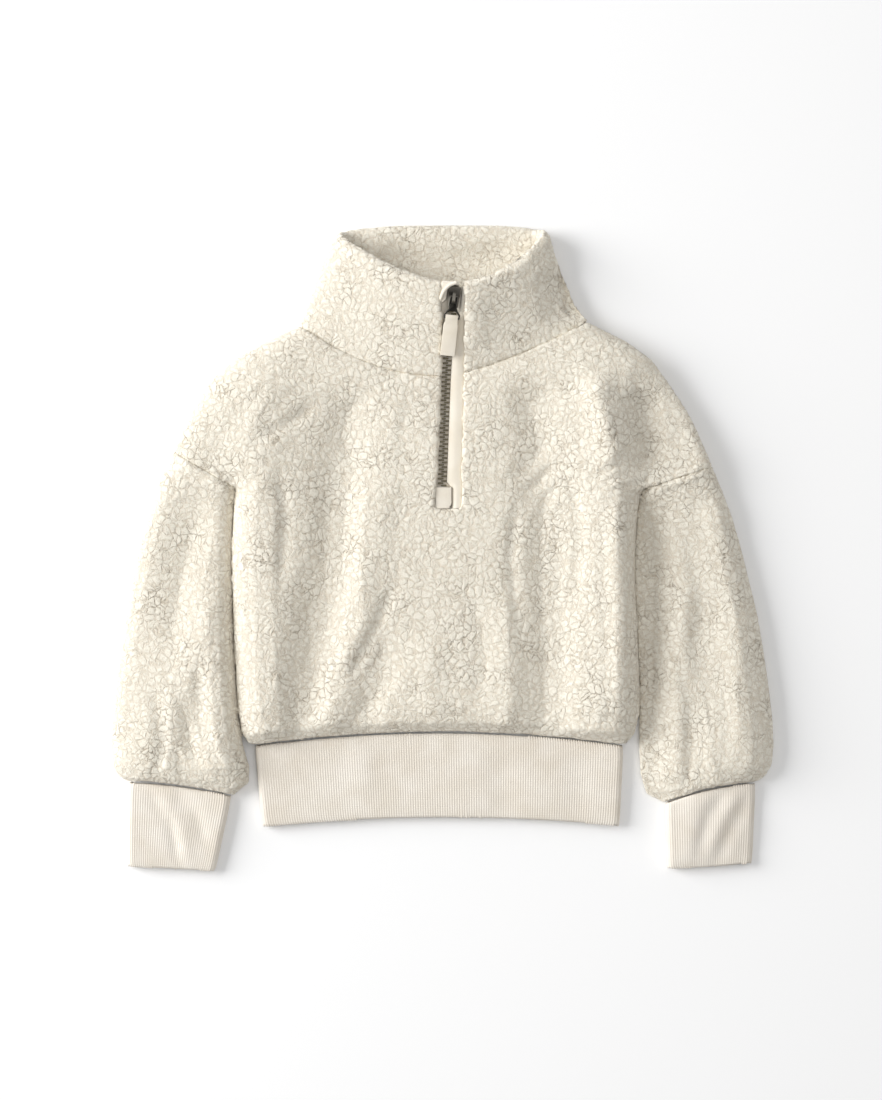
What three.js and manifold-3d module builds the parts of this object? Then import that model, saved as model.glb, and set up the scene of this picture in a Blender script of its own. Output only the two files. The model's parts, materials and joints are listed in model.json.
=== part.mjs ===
// A toddler's sherpa fleece pullover with a quarter zip, laid flat on its back.
// Millimetres, +Z up. The origin is on the floor under the middle of the garment,
// +Y runs to the collar and +X to the right as it is seen from above.
// Each cloth piece is a closed wall with the thickness of its cloth and pile.
import * as THREE from "three";
import { mergeVertices } from "three/addons/utils/BufferGeometryUtils.js";
import Module from "manifold-3d";

// Driving sizes
const FLEECE = 7; // wall of the fleece with its pile
const SEAM_GAP = 0.35; // between two pieces that are sewn together
const SIDE_HEIGHT = 11; // height of the side and shoulder seams over the floor
const EDGE_ROUND = 15; // width over which a folded side rounds down
const BODY_HEIGHT = 21.5; // usual height of the front over the floor
const LOWEST_FRONT = 15.4; // where the front lies on the back
const HEM_HEIGHT = 10.5; // height of the front at its hem seam
const HEM_ROUND = 15;
const HEM_WALL = 4.4; // the fleece is pressed thin in the hem seams
const SEAM_DIP = 2.2; // depth of the valley along the collar seam
const SEAM_DIP_WIDTH = 7;
const WELT_HEIGHT = 1.6; // the raised seam where a sleeve is set in
const WELT_WIDTH = 4;
const ZIP_BLEND = { middle: 5, width: 26, from: 60, to: 120 }; // where the front levels out for the zip

const RIB_PITCH = 1.8;
const RIB_DEPTH = 0.5;
const RIB_WALL = 2.5;
const RIB_ROUND = 5;

const SLEEVE_SIDE = 9.5;
const SLEEVE_ROUND = 15;

const COLLAR_SIDE = 12;
const COLLAR_LOW = 20; // height of the front of the collar at its seam
const COLLAR_HIGH = 34; // and at its upper edge
const COLLAR_FOOT = 122.8; // where its front starts
const COLLAR_TOP = 186.5;
const COLLAR_ROLL = 2.5; // the upper edge is folded round, and rises by this

const CHAIN_WIDTH = 6;
const TAPE_THICK = 1;
const TAPE_DEPTH = 5.4; // from the fleece's surface down to the tape
const CHAIN_DEPTH = 2.7;
const FACING_DEPTH = 1.1;
const LAY_GAP = 0.3; // between the layers of the zip
const PULL_LIFT = 1.7; // hinge of the pull over the fleece's surface
const PULL_THICK = 1.3;
const BRIDGE_WIDTH = 2.2;

// Rows of the body from the hem to the neck: the two ends of each row and its
// height on the middle line. An open end meets a sleeve, any other is a fold.
const BODY_ROWS = [
  { leftX: -138, leftY: -140.8, rightX: 131, rightY: -140.8, midY: -131 },
  { leftX: -143.5, leftY: -133, rightX: 137.5, rightY: -133, midY: -124 },
  { leftX: -146, leftY: -118, rightX: 141, rightY: -118, midY: -112 },
  { leftX: -147.5, leftY: -98, rightX: 141, rightY: -98, midY: -95 },
  { leftX: -148.7, leftY: -75, rightX: 140, rightY: -75, midY: -75 },
  { leftX: -149.8, leftY: -50, rightX: 138.8, rightY: -50, midY: -51 },
  { leftX: -150.6, leftY: -25, rightX: 137.6, rightY: -25, midY: -26 },
  { leftX: -150.8, leftY: 0, rightX: 137.4, rightY: 0, midY: -2 },
  { leftX: -149.8, leftY: 22, rightX: 138.8, rightY: 22, midY: 20 },
  { leftX: -148, leftY: 43.2, rightX: 142.2, rightY: 41.8, midY: 36 },
  { leftX: -158, leftY: 49, rightX: 154, rightY: 45.7, midY: 46, open: true },
  { leftX: -170, leftY: 55.9, rightX: 168, rightY: 50.4, midY: 56, open: true },
  { leftX: -182, leftY: 62.8, rightX: 182, rightY: 55, midY: 66, open: true },
  { leftX: -192, leftY: 68.6, rightX: 193, rightY: 58.5, midY: 76 },
  { leftX: -187.5, leftY: 80, rightX: 184, rightY: 80, midY: 86 },
  { leftX: -182, leftY: 93, rightX: 178, rightY: 93, midY: 94 },
  { leftX: -175, leftY: 105, rightX: 171, rightY: 105, midY: 101 },
  { leftX: -166, leftY: 119.5, rightX: 161.5, rightY: 119, midY: 107.5 },
  { leftX: -150, leftY: 134, rightX: 150, rightY: 134.5, midY: 113 },
  { leftX: -128.5, leftY: 146.2, rightX: 132, rightY: 147.5, midY: 118, bendRight: 1.7 },
  { leftX: -102.6, leftY: 158.5, rightX: 104.5, rightY: 161.2, midY: 122.4, bendRight: 1.4 },
];
const SIDE_ROWS = 9; // index of the row at the underarm
const SHOULDER_ROWS = 13; // index of the row at the outer end of the sleeve seam
const BACK_NECK = 161; // the back reaches higher than the front

// Folds of the front: ridges and troughs along a path, as height and half width
const BODY_FOLDS = [
  { name: "left hump", height: 5.5, width: 21, path: [[-130, 108], [-129, 10], [-121, -128]] },
  {
    name: "left valley",
    height: -7.5,
    width: 15,
    path: [[-66, 94], [-74, 45], [-77, -8], [-91, -66], [-101, -122]],
  },
  { name: "diagonal ridge", height: 3.2, width: 10, path: [[-50, 34], [-62, -60], [-87, -128]] },
  { name: "diagonal crease", height: -4.5, width: 8, path: [[-36, -68], [-64, -138]] },
  { name: "right valley", height: -6.5, width: 15, path: [[66, 100], [75, 10], [77, -66], [74, -136]] },
  { name: "right crest", height: 2.2, width: 9, path: [[44, -50], [46, -134]] },
  { name: "right hump", height: 5.5, width: 19, path: [[116, 108], [117, -9], [112, -134]] },
  { name: "right shoulder fall", height: -6.5, width: 19, path: [[161, 108], [165, 64]] },
];

// Sleeves: sections from the seam to the cuff, from the outer to the inner edge
const LEFT_SLEEVE = [
  { outerX: -192.4, outerY: 68.1, innerX: -148.5, innerY: 42.7, height: 20.5, wall: 7 },
  { outerX: -200, outerY: 54, innerX: -150.4, innerY: 30, height: 20, wall: 7 },
  { outerX: -206.5, outerY: 36, innerX: -151.2, innerY: 12, height: 20, wall: 7 },
  { outerX: -213.5, outerY: 12, innerX: -151.6, innerY: -8, height: 20.5, wall: 7 },
  { outerX: -219.8, outerY: -15, innerX: -151.4, innerY: -30, height: 21, wall: 7 },
  { outerX: -225.2, outerY: -44, innerX: -150.8, innerY: -54, height: 21.5, wall: 7 },
  { outerX: -230, outerY: -72, innerX: -149.8, innerY: -78, height: 22, wall: 7 },
  { outerX: -234.4, outerY: -98.6, innerX: -148.4, innerY: -101, height: 22, wall: 7 },
  { outerX: -236.6, outerY: -124, innerX: -147.2, innerY: -121, height: 22, wall: 7 },
  { outerX: -237, outerY: -143, innerX: -143.6, innerY: -141, height: 21, wall: 7 },
  { outerX: -235.5, outerY: -157, innerX: -139, innerY: -157, height: 19, wall: 7 },
  { outerX: -232, outerY: -163.4, innerX: -139.5, innerY: -168, height: 14.5, wall: 5.6 },
  { outerX: -227.6, outerY: -166.4, innerX: -149.8, innerY: -176.8, height: 10, wall: 4.2, arc: 2.2 },
];
const LEFT_SLEEVE_FOLDS = [
  { name: "cuff trough", height: -5, width: 9, path: [[-174, -108], [-184, -152]] },
  { name: "inner ridge", height: 3, width: 10, path: [[-163, -60], [-160, -150]] },
  { name: "outer ridge", height: 2, width: 14, path: [[-203, 0], [-213, -130]] },
];
const RIGHT_SLEEVE = [
  { outerX: 193.3, outerY: 57.9, innerX: 142.8, innerY: 41.2, height: 17, wall: 7 },
  { outerX: 200.5, outerY: 40, innerX: 140.4, innerY: 24, height: 17.2, wall: 7 },
  { outerX: 207.5, outerY: 22, innerX: 139.1, innerY: 6, height: 17.8, wall: 7 },
  { outerX: 213.8, outerY: 0, innerX: 138.4, innerY: -16, height: 18.4, wall: 7 },
  { outerX: 219.8, outerY: -24, innerX: 138.9, innerY: -38, height: 19.5, wall: 7 },
  { outerX: 225.6, outerY: -48, innerX: 139.9, innerY: -60, height: 20, wall: 7 },
  { outerX: 229.8, outerY: -73, innerX: 141.1, innerY: -82, height: 20.5, wall: 7 },
  { outerX: 233.6, outerY: -98.6, innerX: 141.9, innerY: -104, height: 21, wall: 7 },
  { outerX: 236.4, outerY: -123, innerX: 141.8, innerY: -126, height: 21, wall: 7 },
  { outerX: 237.3, outerY: -142, innerX: 141.8, innerY: -146, height: 20.5, wall: 7 },
  { outerX: 235.8, outerY: -156, innerX: 143, innerY: -163, height: 18.5, wall: 7 },
  { outerX: 231.4, outerY: -163.4, innerX: 147, innerY: -176.4, height: 14.5, wall: 5.6 },
  { outerX: 226.3, outerY: -167.2, innerX: 158.8, innerY: -182.2, height: 10, wall: 4.2, arc: 3.2 },
];
const RIGHT_SLEEVE_FOLDS = [
  { name: "body shade", height: -3, width: 14, path: [[150, 30], [150, -90]] },
  { name: "outer ridge", height: 5.5, width: 10, path: [[198, 18], [210, -52], [220, -150]] },
  { name: "hollow", height: -4.5, width: 10, path: [[188, -50], [180, -172]] },
  { name: "inner ridge", height: 3.5, width: 9, path: [[161, -84], [159, -166]] },
];

// Rib pieces: both ends and the middle of the edge that is sewn and the free edge
const HEM_BAND = {
  sewn: { leftX: -135.6, leftY: -141.2, rightX: 130.6, rightY: -141.2, midY: -131.4 },
  free: { leftX: -129.8, leftY: -201.4, rightX: 127.6, rightY: -200.9, midY: -195 },
  sewnHeight: 8.4,
  freeHeight: 7,
  belly: 0.6,
};
const LEFT_CUFF = {
  sewn: { leftX: -226.6, leftY: -167.1, rightX: -151, rightY: -177.2, midY: -170 },
  free: { leftX: -226.9, leftY: -229.8, rightX: -163.1, rightY: -233.2, midY: -231.7 },
  sewnHeight: 8.2,
  freeHeight: 7,
  belly: 1,
};
const RIGHT_CUFF = {
  sewn: { leftX: 159.4, leftY: -182.7, rightX: 225.4, rightY: -168, midY: -172.2 },
  free: { leftX: 161.3, leftY: -231.1, rightX: 222.7, rightY: -227.5, midY: -230.2 },
  sewnHeight: 8.4,
  freeHeight: 7,
  belly: 1.2,
};

// Levels of the collar from its seam to its upper edge
const COLLAR_LEVELS = [
  { left: -102.4, right: 104.2, leftY: 159.3, rightY: 162, frontY: 122.8, backY: 161.6, middle: 0 },
  { left: -96.8, right: 95, leftY: 172, rightY: 174, frontY: 136, backY: 175.3, middle: 1.8 },
  { left: -91.7, right: 90, leftY: 186, rightY: 187, frontY: 149.4, backY: 189, middle: 3.6 },
  { left: -86.8, right: 84, leftY: 200, rightY: 200, frontY: 162.6, backY: 202.8, middle: 5.2 },
  { left: -81.8, right: 79.5, leftY: 212.5, rightY: 212.5, frontY: 175.4, backY: 216.4, middle: 6.8 },
  { left: -77, right: 77, leftY: 222, rightY: 223, frontY: COLLAR_TOP, backY: 229.2, middle: 8.2 },
];
const COLLAR_BEND_LOW = { left: 2, right: 1.4 };
const COLLAR_BEND_HIGH = { left: 1.7, right: 2 };

// The zip: its axis and the two edges of the slot that it fills
const ZIP_LINE = [
  { y: 20, axis: -1.2, left: -6.2, right: 13.2 },
  { y: 28, axis: -0.9, left: -5.8, right: 13.6 },
  { y: 43, axis: -0.3, left: -5.4, right: 14.6 },
  { y: 90, axis: 1.4, left: -3, right: 15.6 },
  { y: 122, axis: 2.6, left: -1.9, right: 16.2 },
  { y: 140, axis: 3.8, left: -1.2, right: 16.4 },
  { y: 162, axis: 6.2, left: -1.2, right: 16.6 },
  { y: 175, axis: 7.8, left: -2.2, right: 16.8 },
  { y: 200, axis: 10.6, left: -2.2, right: 17 },
];
const SLOT_END = 27.6;
const TAPE_ENDS = { low: 28, high: 186 };
const CHAIN_ENDS = { low: 43.6, high: 168.6 };
const FACING_ROWS = [
  { y: 29, clear: 8 },
  { y: 44, clear: 7.2 },
  { y: 47, clear: 3.4 },
  { y: 90, clear: 3.4 },
  { y: 122, clear: 3.4 },
  { y: 163, clear: 3.4 },
  { y: 166, clear: 5.2 },
  { y: 186, clear: 5.2 },
];
const END_TAB = { low: 28.6, high: 43.2, left: -5, right: 6.4, corner: 4 };
const HINGE = { y: 178.4, lean: 6.5 };

// Small helpers
const clamp = (t, low, high) => Math.min(Math.max(t, low), high);
const lerp = (a, b, t) => a + (b - a) * t;
const smooth = (t) => {
  const c = clamp(t, 0, 1);
  return c * c * (3 - 2 * c);
};
// A quarter round: 0 at the edge and 1 at the radius
const rise = (distance, radius) => Math.sqrt(1 - (1 - clamp(distance / radius, 0, 1)) ** 2);

// A column of a table at any value of another column
function read(table, by, name, value) {
  const next = table.findIndex((row) => row[by] > value);
  if (next < 0) return table.at(-1)[name];
  if (next === 0) return table[0][name];
  const low = table[next - 1];
  const high = table[next];
  return lerp(low[name], high[name], (value - low[by]) / (high[by] - low[by]));
}

function distanceToPath(path, x, y) {
  let best = Infinity;
  for (let i = 1; i < path.length; i++) {
    const [ax, ay] = path[i - 1];
    const [bx, by] = path[i];
    const long = (bx - ax) ** 2 + (by - ay) ** 2;
    const t = clamp(((x - ax) * (bx - ax) + (y - ay) * (by - ay)) / long, 0, 1);
    best = Math.min(best, Math.hypot(x - lerp(ax, bx, t), y - lerp(ay, by, t)));
  }
  return best;
}

const relief = (folds, x, y) =>
  folds.reduce((sum, f) => sum + f.height * Math.exp(-((distanceToPath(f.path, x, y) / f.width) ** 2)), 0);

// Distances across a row that is folded down at both ends: close together there
const EDGE_STEPS = [0, 1.3, 4.2, 9, 16];
function columns(width, middle) {
  const last = EDGE_STEPS.length - 1;
  const start = EDGE_STEPS[last] / width;
  const inner = Array.from({ length: middle - 1 }, (_, i) => lerp(start, 1 - start, (i + 1) / middle));
  const low = EDGE_STEPS.map((d) => d / width);
  return [...low, ...inner, ...low.map((t) => 1 - t).reverse()];
}

// A closed wall between an outer and an inner grid of points with the same columns.
// A loop closes round; with a shared last row the two grids meet there without a rim.
function wall(outer, inner, { loop = false, shared = false } = {}) {
  const count = outer[0].length;
  const spans = loop ? count : count - 1;
  const points = [...outer.flat(), ...inner.flat()];
  const out = (j, i) => j * count + (i % count);
  const inn = (j, i) => outer.length * count + j * count + (i % count);
  const faces = [];
  const quad = (a, b, c, d) => faces.push([a, b, c], [a, c, d]);
  const sheet = (at, rows, turn) => {
    for (let j = 0; j < rows - 1; j++)
      for (let i = 0; i < spans; i++)
        if (turn) quad(at(j, i), at(j + 1, i), at(j + 1, i + 1), at(j, i + 1));
        else quad(at(j, i), at(j, i + 1), at(j + 1, i + 1), at(j + 1, i));
  };
  sheet(out, outer.length, false);
  sheet(inn, inner.length, true);
  const lastOut = outer.length - 1;
  const lastIn = inner.length - 1;
  for (let i = 0; i < spans; i++) {
    quad(out(0, i + 1), out(0, i), inn(0, i), inn(0, i + 1));
    if (!shared) quad(out(lastOut, i), out(lastOut, i + 1), inn(lastIn, i + 1), inn(lastIn, i));
  }
  if (!loop)
    for (let j = 0; j < lastOut; j++) {
      quad(out(j, 0), out(j + 1, 0), inn(j + 1, 0), inn(j, 0));
      quad(out(j + 1, count - 1), out(j, count - 1), inn(j, count - 1), inn(j + 1, count - 1));
    }
  return closedGeometry(points, faces);
}

// A body lofted through rings with the same number of points, closed by flat ends
function loft(rings) {
  const count = rings[0].length;
  const faces = [];
  for (let j = 0; j < rings.length - 1; j++)
    for (let i = 0; i < count; i++) {
      const a = j * count + i;
      const b = j * count + ((i + 1) % count);
      faces.push([a, b, b + count], [a, b + count, a + count]);
    }
  const top = (rings.length - 1) * count;
  for (let i = 1; i < count - 1; i++) {
    faces.push([0, i + 1, i]);
    faces.push([top, top + i, top + i + 1]);
  }
  return closedGeometry(rings.flat(), faces);
}

// Points and faces as a geometry that faces outwards
function closedGeometry(points, faces) {
  const used = faces.filter(([a, b, c]) => {
    const apart = (p, q) => points[p].distanceTo(points[q]) > 1e-6;
    return apart(a, b) && apart(b, c) && apart(c, a);
  });
  const volume = used.reduce(
    (sum, [a, b, c]) => sum + points[a].dot(new THREE.Vector3().crossVectors(points[b], points[c])),
    0,
  );
  const facing = volume < 0 ? used.map(([a, b, c]) => [a, c, b]) : used;
  const geometry = new THREE.BufferGeometry().setFromPoints(points);
  geometry.setIndex(facing.flat());
  geometry.computeVertexNormals();
  return geometry;
}

const library = await Module();
library.setup();

// A geometry as a manifold-3d solid, and back
function solid(geometry) {
  const bare = geometry.clone();
  ["normal", "uv"].forEach((name) => bare.deleteAttribute(name));
  const merged = mergeVertices(bare, 1e-4);
  const triVerts = new Uint32Array(merged.index.array);
  const vertProperties = new Float32Array(merged.attributes.position.array);
  return new library.Manifold(new library.Mesh({ numProp: 3, vertProperties, triVerts }));
}
function fromSolid(made) {
  const mesh = made.getMesh();
  const geometry = new THREE.BufferGeometry();
  geometry.setAttribute("position", new THREE.BufferAttribute(mesh.vertProperties, 3));
  geometry.setIndex(new THREE.BufferAttribute(mesh.triVerts, 1));
  geometry.computeVertexNormals();
  return geometry;
}

// The body's surfaces
const hemLine = (x) => lerp(BODY_ROWS[0].midY, BODY_ROWS[0].leftY, (x / 135) ** 2);
const rowY = (row, x, midY = row.midY) => {
  const left = x < 0;
  const [endX, endY] = left ? [row.leftX, row.leftY] : [row.rightX, row.rightY];
  const bend = left ? 2 : (row.bendRight ?? 2);
  return lerp(midY, endY, Math.abs(x / endX) ** bend);
};
const necklineY = (x) => rowY(BODY_ROWS.at(-1), clamp(x, -102.6, 104.5));

const pathOf = (rows, side) => rows.map((row) => [row[side + "X"], row[side + "Y"]]);
const FOLDED_EDGES = ["left", "right"].flatMap((side) => [
  pathOf(BODY_ROWS.slice(0, SIDE_ROWS + 1), side),
  pathOf(BODY_ROWS.slice(SHOULDER_ROWS), side),
]);
const SLEEVE_ROWS = BODY_ROWS.slice(SIDE_ROWS, SHOULDER_ROWS + 1);
const SLEEVE_SEAMS = ["left", "right"].map((side) => pathOf(SLEEVE_ROWS, side));
const fromEdge = (x, y) => Math.min(...FOLDED_EDGES.map((path) => distanceToPath(path, x, y)));
const fromSleeve = (x, y) => Math.min(...SLEEVE_SEAMS.map((path) => distanceToPath(path, x, y)));
const bump = (distance, width) => Math.exp(-((distance / width) ** 2));

function bodyHeight(x, y) {
  const open = Math.max(BODY_HEIGHT + relief(BODY_FOLDS, x, y), LOWEST_FRONT);
  const atNeck = bump(necklineY(x) - y, SEAM_DIP_WIDTH) * smooth((Math.abs(x - 7) - 10) / 22);
  const shaped = open - SEAM_DIP * atNeck + WELT_HEIGHT * bump(fromSleeve(x, y), WELT_WIDTH);
  const { middle, width, from, to } = ZIP_BLEND;
  const zipBlend = bump(x - middle, width) * smooth((y - from) / (to - from));
  const withZip = lerp(shaped, COLLAR_LOW, zipBlend);
  return lerp(HEM_HEIGHT, withZip, rise(y - hemLine(x), HEM_ROUND));
}
const fleeceWall = (x, y) => lerp(HEM_WALL, FLEECE, smooth((y - hemLine(x)) / HEM_ROUND));

const frontOuter = (x, y) => lerp(SIDE_HEIGHT, bodyHeight(x, y), rise(fromEdge(x, y), EDGE_ROUND));
const innerRise = (x, y) => rise(Math.max(fromEdge(x, y) - FLEECE, 0), EDGE_ROUND - FLEECE + 2);
const frontInner = (x, y) =>
  lerp(SIDE_HEIGHT, bodyHeight(x, y) - fleeceWall(x, y), innerRise(x, y));
const backOuter = (x, y) => (SIDE_HEIGHT - SEAM_GAP) * (1 - rise(fromEdge(x, y), EDGE_ROUND));
const backInner = (x, y) => lerp(SIDE_HEIGHT - SEAM_GAP, fleeceWall(x, y) - 0.4, innerRise(x, y));

// How far the inside of a folded end stays back from it, so that the wall keeps its thickness
function inset(rows, index, side) {
  if (rows[index].open) return 0;
  const low = index === SHOULDER_ROWS ? index : Math.max(index - 1, 0);
  const high = index === SIDE_ROWS ? index : Math.min(index + 1, rows.length - 1);
  const dx = rows[high][side + "X"] - rows[low][side + "X"];
  const dy = rows[high][side + "Y"] - rows[low][side + "Y"];
  return FLEECE / clamp(Math.abs(dy) / Math.hypot(dx, dy), 0.45, 1);
}

function bodyPanel(middle, outerZ, innerZ, neckMid) {
  const grid = (heightAt, inside) =>
    BODY_ROWS.map((row, j) => {
      const share = clamp((j - SHOULDER_ROWS) / (BODY_ROWS.length - 1 - SHOULDER_ROWS), 0, 1);
      const midY = row.midY + (neckMid - BODY_ROWS.at(-1).midY) * share;
      const left = row.leftX + (inside ? inset(BODY_ROWS, j, "left") : 0);
      const right = row.rightX - (inside ? inset(BODY_ROWS, j, "right") : 0);
      return columns(row.rightX - row.leftX, middle).map((f) => {
        const x = lerp(left, right, f);
        const y = rowY(row, x, midY);
        return new THREE.Vector3(x, y, heightAt(x, y));
      });
    });
  return wall(grid(outerZ, false), grid(innerZ, true));
}

function zipSlot() {
  const rows = ZIP_LINE.filter((row) => row.y > SLOT_END && row.y < 130);
  const at = (y) => ({ y, left: read(ZIP_LINE, "y", "left", y), right: read(ZIP_LINE, "y", "right", y) });
  const all = [at(SLOT_END), ...rows, at(160)];
  const outline = [
    ...all.map((row) => new THREE.Vector2(row.left, row.y)),
    ...all.map((row) => new THREE.Vector2(row.right, row.y)).reverse(),
  ];
  const cutter = new THREE.ExtrudeGeometry(new THREE.Shape(outline), { depth: 80, bevelEnabled: false });
  return cutter.translate(0, 0, -20);
}

const frontPanel = () =>
  fromSolid(solid(bodyPanel(20, frontOuter, frontInner, BODY_ROWS.at(-1).midY)).subtract(solid(zipSlot())));
const backPanel = () => bodyPanel(12, backOuter, backInner, BACK_NECK);

// A sleeve: flattened rings, the upper half from the outer to the inner edge and back below
function sleeve(sections, folds, middle) {
  const seam = sections[0];
  const seamPath = [[seam.outerX, seam.outerY], [seam.innerX, seam.innerY]];
  const ring = (row, inside) => {
    const width = Math.hypot(row.innerX - row.outerX, row.innerY - row.outerY);
    const back = inside ? row.wall / width : 0;
    const side = Math.min(SLEEVE_SIDE, row.height * 0.5);
    const radius = inside ? SLEEVE_ROUND - row.wall + 2 : SLEEVE_ROUND;
    const steps = columns(width, middle);
    const place = (f, upper) => {
      const t = lerp(back, 1 - back, f);
      const x = lerp(row.outerX, row.innerX, t);
      const y = lerp(row.outerY, row.innerY, t) + (row.arc ?? 0) * (1 - (2 * t - 1) ** 2);
      const up = rise(Math.min(f, 1 - f) * width, radius);
      const fade = smooth((row.height - 10) / 8);
      const welt = WELT_HEIGHT * bump(distanceToPath(seamPath, x, y), WELT_WIDTH);
      const top = row.height + relief(folds, x, y) * fade + welt;
      const high = Math.max(top, 2 * row.wall + 1.3) - (inside ? row.wall : 0);
      const low = inside ? row.wall - 0.2 : 0;
      return new THREE.Vector3(x, y, lerp(side, upper ? high : low, up));
    };
    return [
      ...steps.map((f) => place(f, true)),
      ...steps.slice(1, -1).reverse().map((f) => place(f, false)),
    ];
  };
  const outer = sections.map((row) => ring(row, false));
  const inner = sections.map((row) => ring(row, true));
  return wall(outer, inner, { loop: true });
}

// A rib tube: ribs stand up from the outside of its upper wall, the inside and underside are plain
function ribTube({ sewn, free, sewnHeight, freeHeight, belly }) {
  const widest = Math.max(sewn.rightX - sewn.leftX, free.rightX - free.leftX);
  const ribs = Math.round(widest / RIB_PITCH);
  const upper = Array.from({ length: 2 * ribs + 1 }, (_, i) => i / (2 * ribs));
  const lower = [0.99, 0.96, 0.9, 0.7, 0.5, 0.3, 0.1, 0.04, 0.01];
  const ring = (v, inside) => {
    const edge = Object.fromEntries(Object.keys(sewn).map((key) => [key, lerp(sewn[key], free[key], v)]));
    const width = edge.rightX - edge.leftX;
    const height = lerp(sewnHeight, freeHeight, v) + belly * Math.sin(Math.PI * v);
    const back = inside ? RIB_WALL / width : 0;
    const place = (f, index) => {
      const t = lerp(back, 1 - back, f);
      const x = lerp(edge.leftX, edge.rightX, t);
      const straight = lerp(edge.leftY, edge.rightY, t);
      const y = straight + (edge.midY - (edge.leftY + edge.rightY) / 2) * (1 - (2 * t - 1) ** 2);
      const up = rise(Math.min(f, 1 - f) * width, inside ? RIB_ROUND - RIB_WALL : RIB_ROUND);
      const rib = !inside && index % 2 === 1 ? RIB_DEPTH : 0;
      const target = index === undefined ? (inside ? RIB_WALL : 0) : height - (inside ? RIB_WALL : 0);
      return new THREE.Vector3(x, y, lerp(freeHeight / 2, target, up) + rib);
    };
    return [...upper.map((f, i) => place(f, i)), ...lower.map((f) => place(f))];
  };
  const levels = [0, 0.35, 0.7, 1];
  return wall(levels.map((v) => ring(v, false)), [0, 1].map((v) => ring(v, true)), { loop: true });
}

// The collar: a flattened tube, open along the zip, with its front raised over its back
const collarHeight = (y) => lerp(COLLAR_LOW, COLLAR_HIGH, (y - COLLAR_FOOT) / (COLLAR_TOP - COLLAR_FOOT));
function collar() {
  const near = [0, 0.12, 0.26, 0.4, 0.55, 0.7, 0.82, 0.91, 0.97, 1];
  const behind = [-0.97, -0.9, -0.8, -0.5, -0.18, 0.18, 0.5, 0.8, 0.9, 0.97];
  const ring = (level, index, inside) => {
    const share = index / (COLLAR_LEVELS.length - 1);
    const wallBack = inside ? FLEECE : 0;
    const reach = { left: level.middle - level.left, right: level.right - level.middle };
    const bend = (side) => lerp(COLLAR_BEND_LOW[side], COLLAR_BEND_HIGH[side], share);
    const radius = inside ? EDGE_ROUND - FLEECE + 2 : EDGE_ROUND;
    const place = (side, s, part) => {
      const sign = side === "left" ? -1 : 1;
      const x = level.middle + sign * s * (reach[side] - wallBack);
      const across = Math.abs(x - level.middle) / reach[side];
      const sideY = level[side + "Y"];
      const frontY = lerp(level.frontY, sideY, across ** bend(side));
      const backY = lerp(level.backY, sideY, across ** 4);
      const arch = Math.sqrt(1 - Math.min(s, 1) ** 2.2);
      const flat = rise((1 - s) * reach[side], radius);
      const high = collarHeight(level.frontY) - wallBack;
      const back = new THREE.Vector3(x, backY, lerp(COLLAR_SIDE, inside ? FLEECE : 0, flat));
      const front = new THREE.Vector3(x, s < 1 ? frontY : backY, lerp(COLLAR_SIDE, high, arch));
      return part === "front" ? front : back;
    };
    const zipEdge = (side) => {
      const edge = read(ZIP_LINE, "y", side, level.frontY);
      return Math.abs(edge - level.middle) / (reach[side] - wallBack);
    };
    return [
      ...near.map((t) => place("left", lerp(zipEdge("left"), 1, t), "front")),
      ...behind.map((s) => place(s < 0 ? "left" : "right", Math.abs(s), "back")),
      ...near.map((t) => place("right", lerp(zipEdge("right"), 1, t), "front")).reverse(),
    ];
  };
  const outer = COLLAR_LEVELS.map((level, i) => ring(level, i, false));
  const inner = COLLAR_LEVELS.map((level, i) => ring(level, i, true));
  const rolled = outer.at(-1).map((p, i) => {
    const middle = p.clone().lerp(inner.at(-1)[i], 0.5);
    return middle.setY(Math.max(p.y, inner.at(-1)[i].y) + COLLAR_ROLL);
  });
  return wall([...outer, rolled], [...inner, rolled.map((p) => p.clone())], { shared: true });
}

// The zip's layers follow the surface of the fleece on its axis
const axisX = (y) => read(ZIP_LINE, "y", "axis", y);
const zipHeight = (y) => (y < COLLAR_FOOT ? bodyHeight(axisX(y), y) : collarHeight(y));
const zipRows = (low, high) => [
  low,
  ...[44, 47, 60, 76, 92, 108, 122.6, 136, 150, 163, 166].filter((y) => y > low + 1 && y < high - 1),
  high,
];
const strip = (rows, sectionAt) =>
  loft(rows.map((y) => sectionAt(y).map(([x, depth]) => new THREE.Vector3(x, y, zipHeight(y) - depth))));

const zipTape = () =>
  strip(zipRows(TAPE_ENDS.low, TAPE_ENDS.high), (y) => {
    const left = read(ZIP_LINE, "y", "left", y) + SEAM_GAP;
    const right = read(ZIP_LINE, "y", "right", y) - SEAM_GAP;
    const low = TAPE_DEPTH + TAPE_THICK;
    return [[left, TAPE_DEPTH], [right, TAPE_DEPTH], [right, low], [left, low]];
  });

const zipChain = () =>
  strip(zipRows(CHAIN_ENDS.low, CHAIN_ENDS.high), (y) => {
    const x = axisX(y);
    const half = CHAIN_WIDTH / 2;
    const low = TAPE_DEPTH - LAY_GAP;
    const edge = CHAIN_DEPTH + 0.4;
    const flat = half - 0.6;
    return [
      [x - half, low],
      [x - half, edge],
      [x - flat, CHAIN_DEPTH],
      [x + flat, CHAIN_DEPTH],
      [x + half, edge],
      [x + half, low],
    ];
  });

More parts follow.
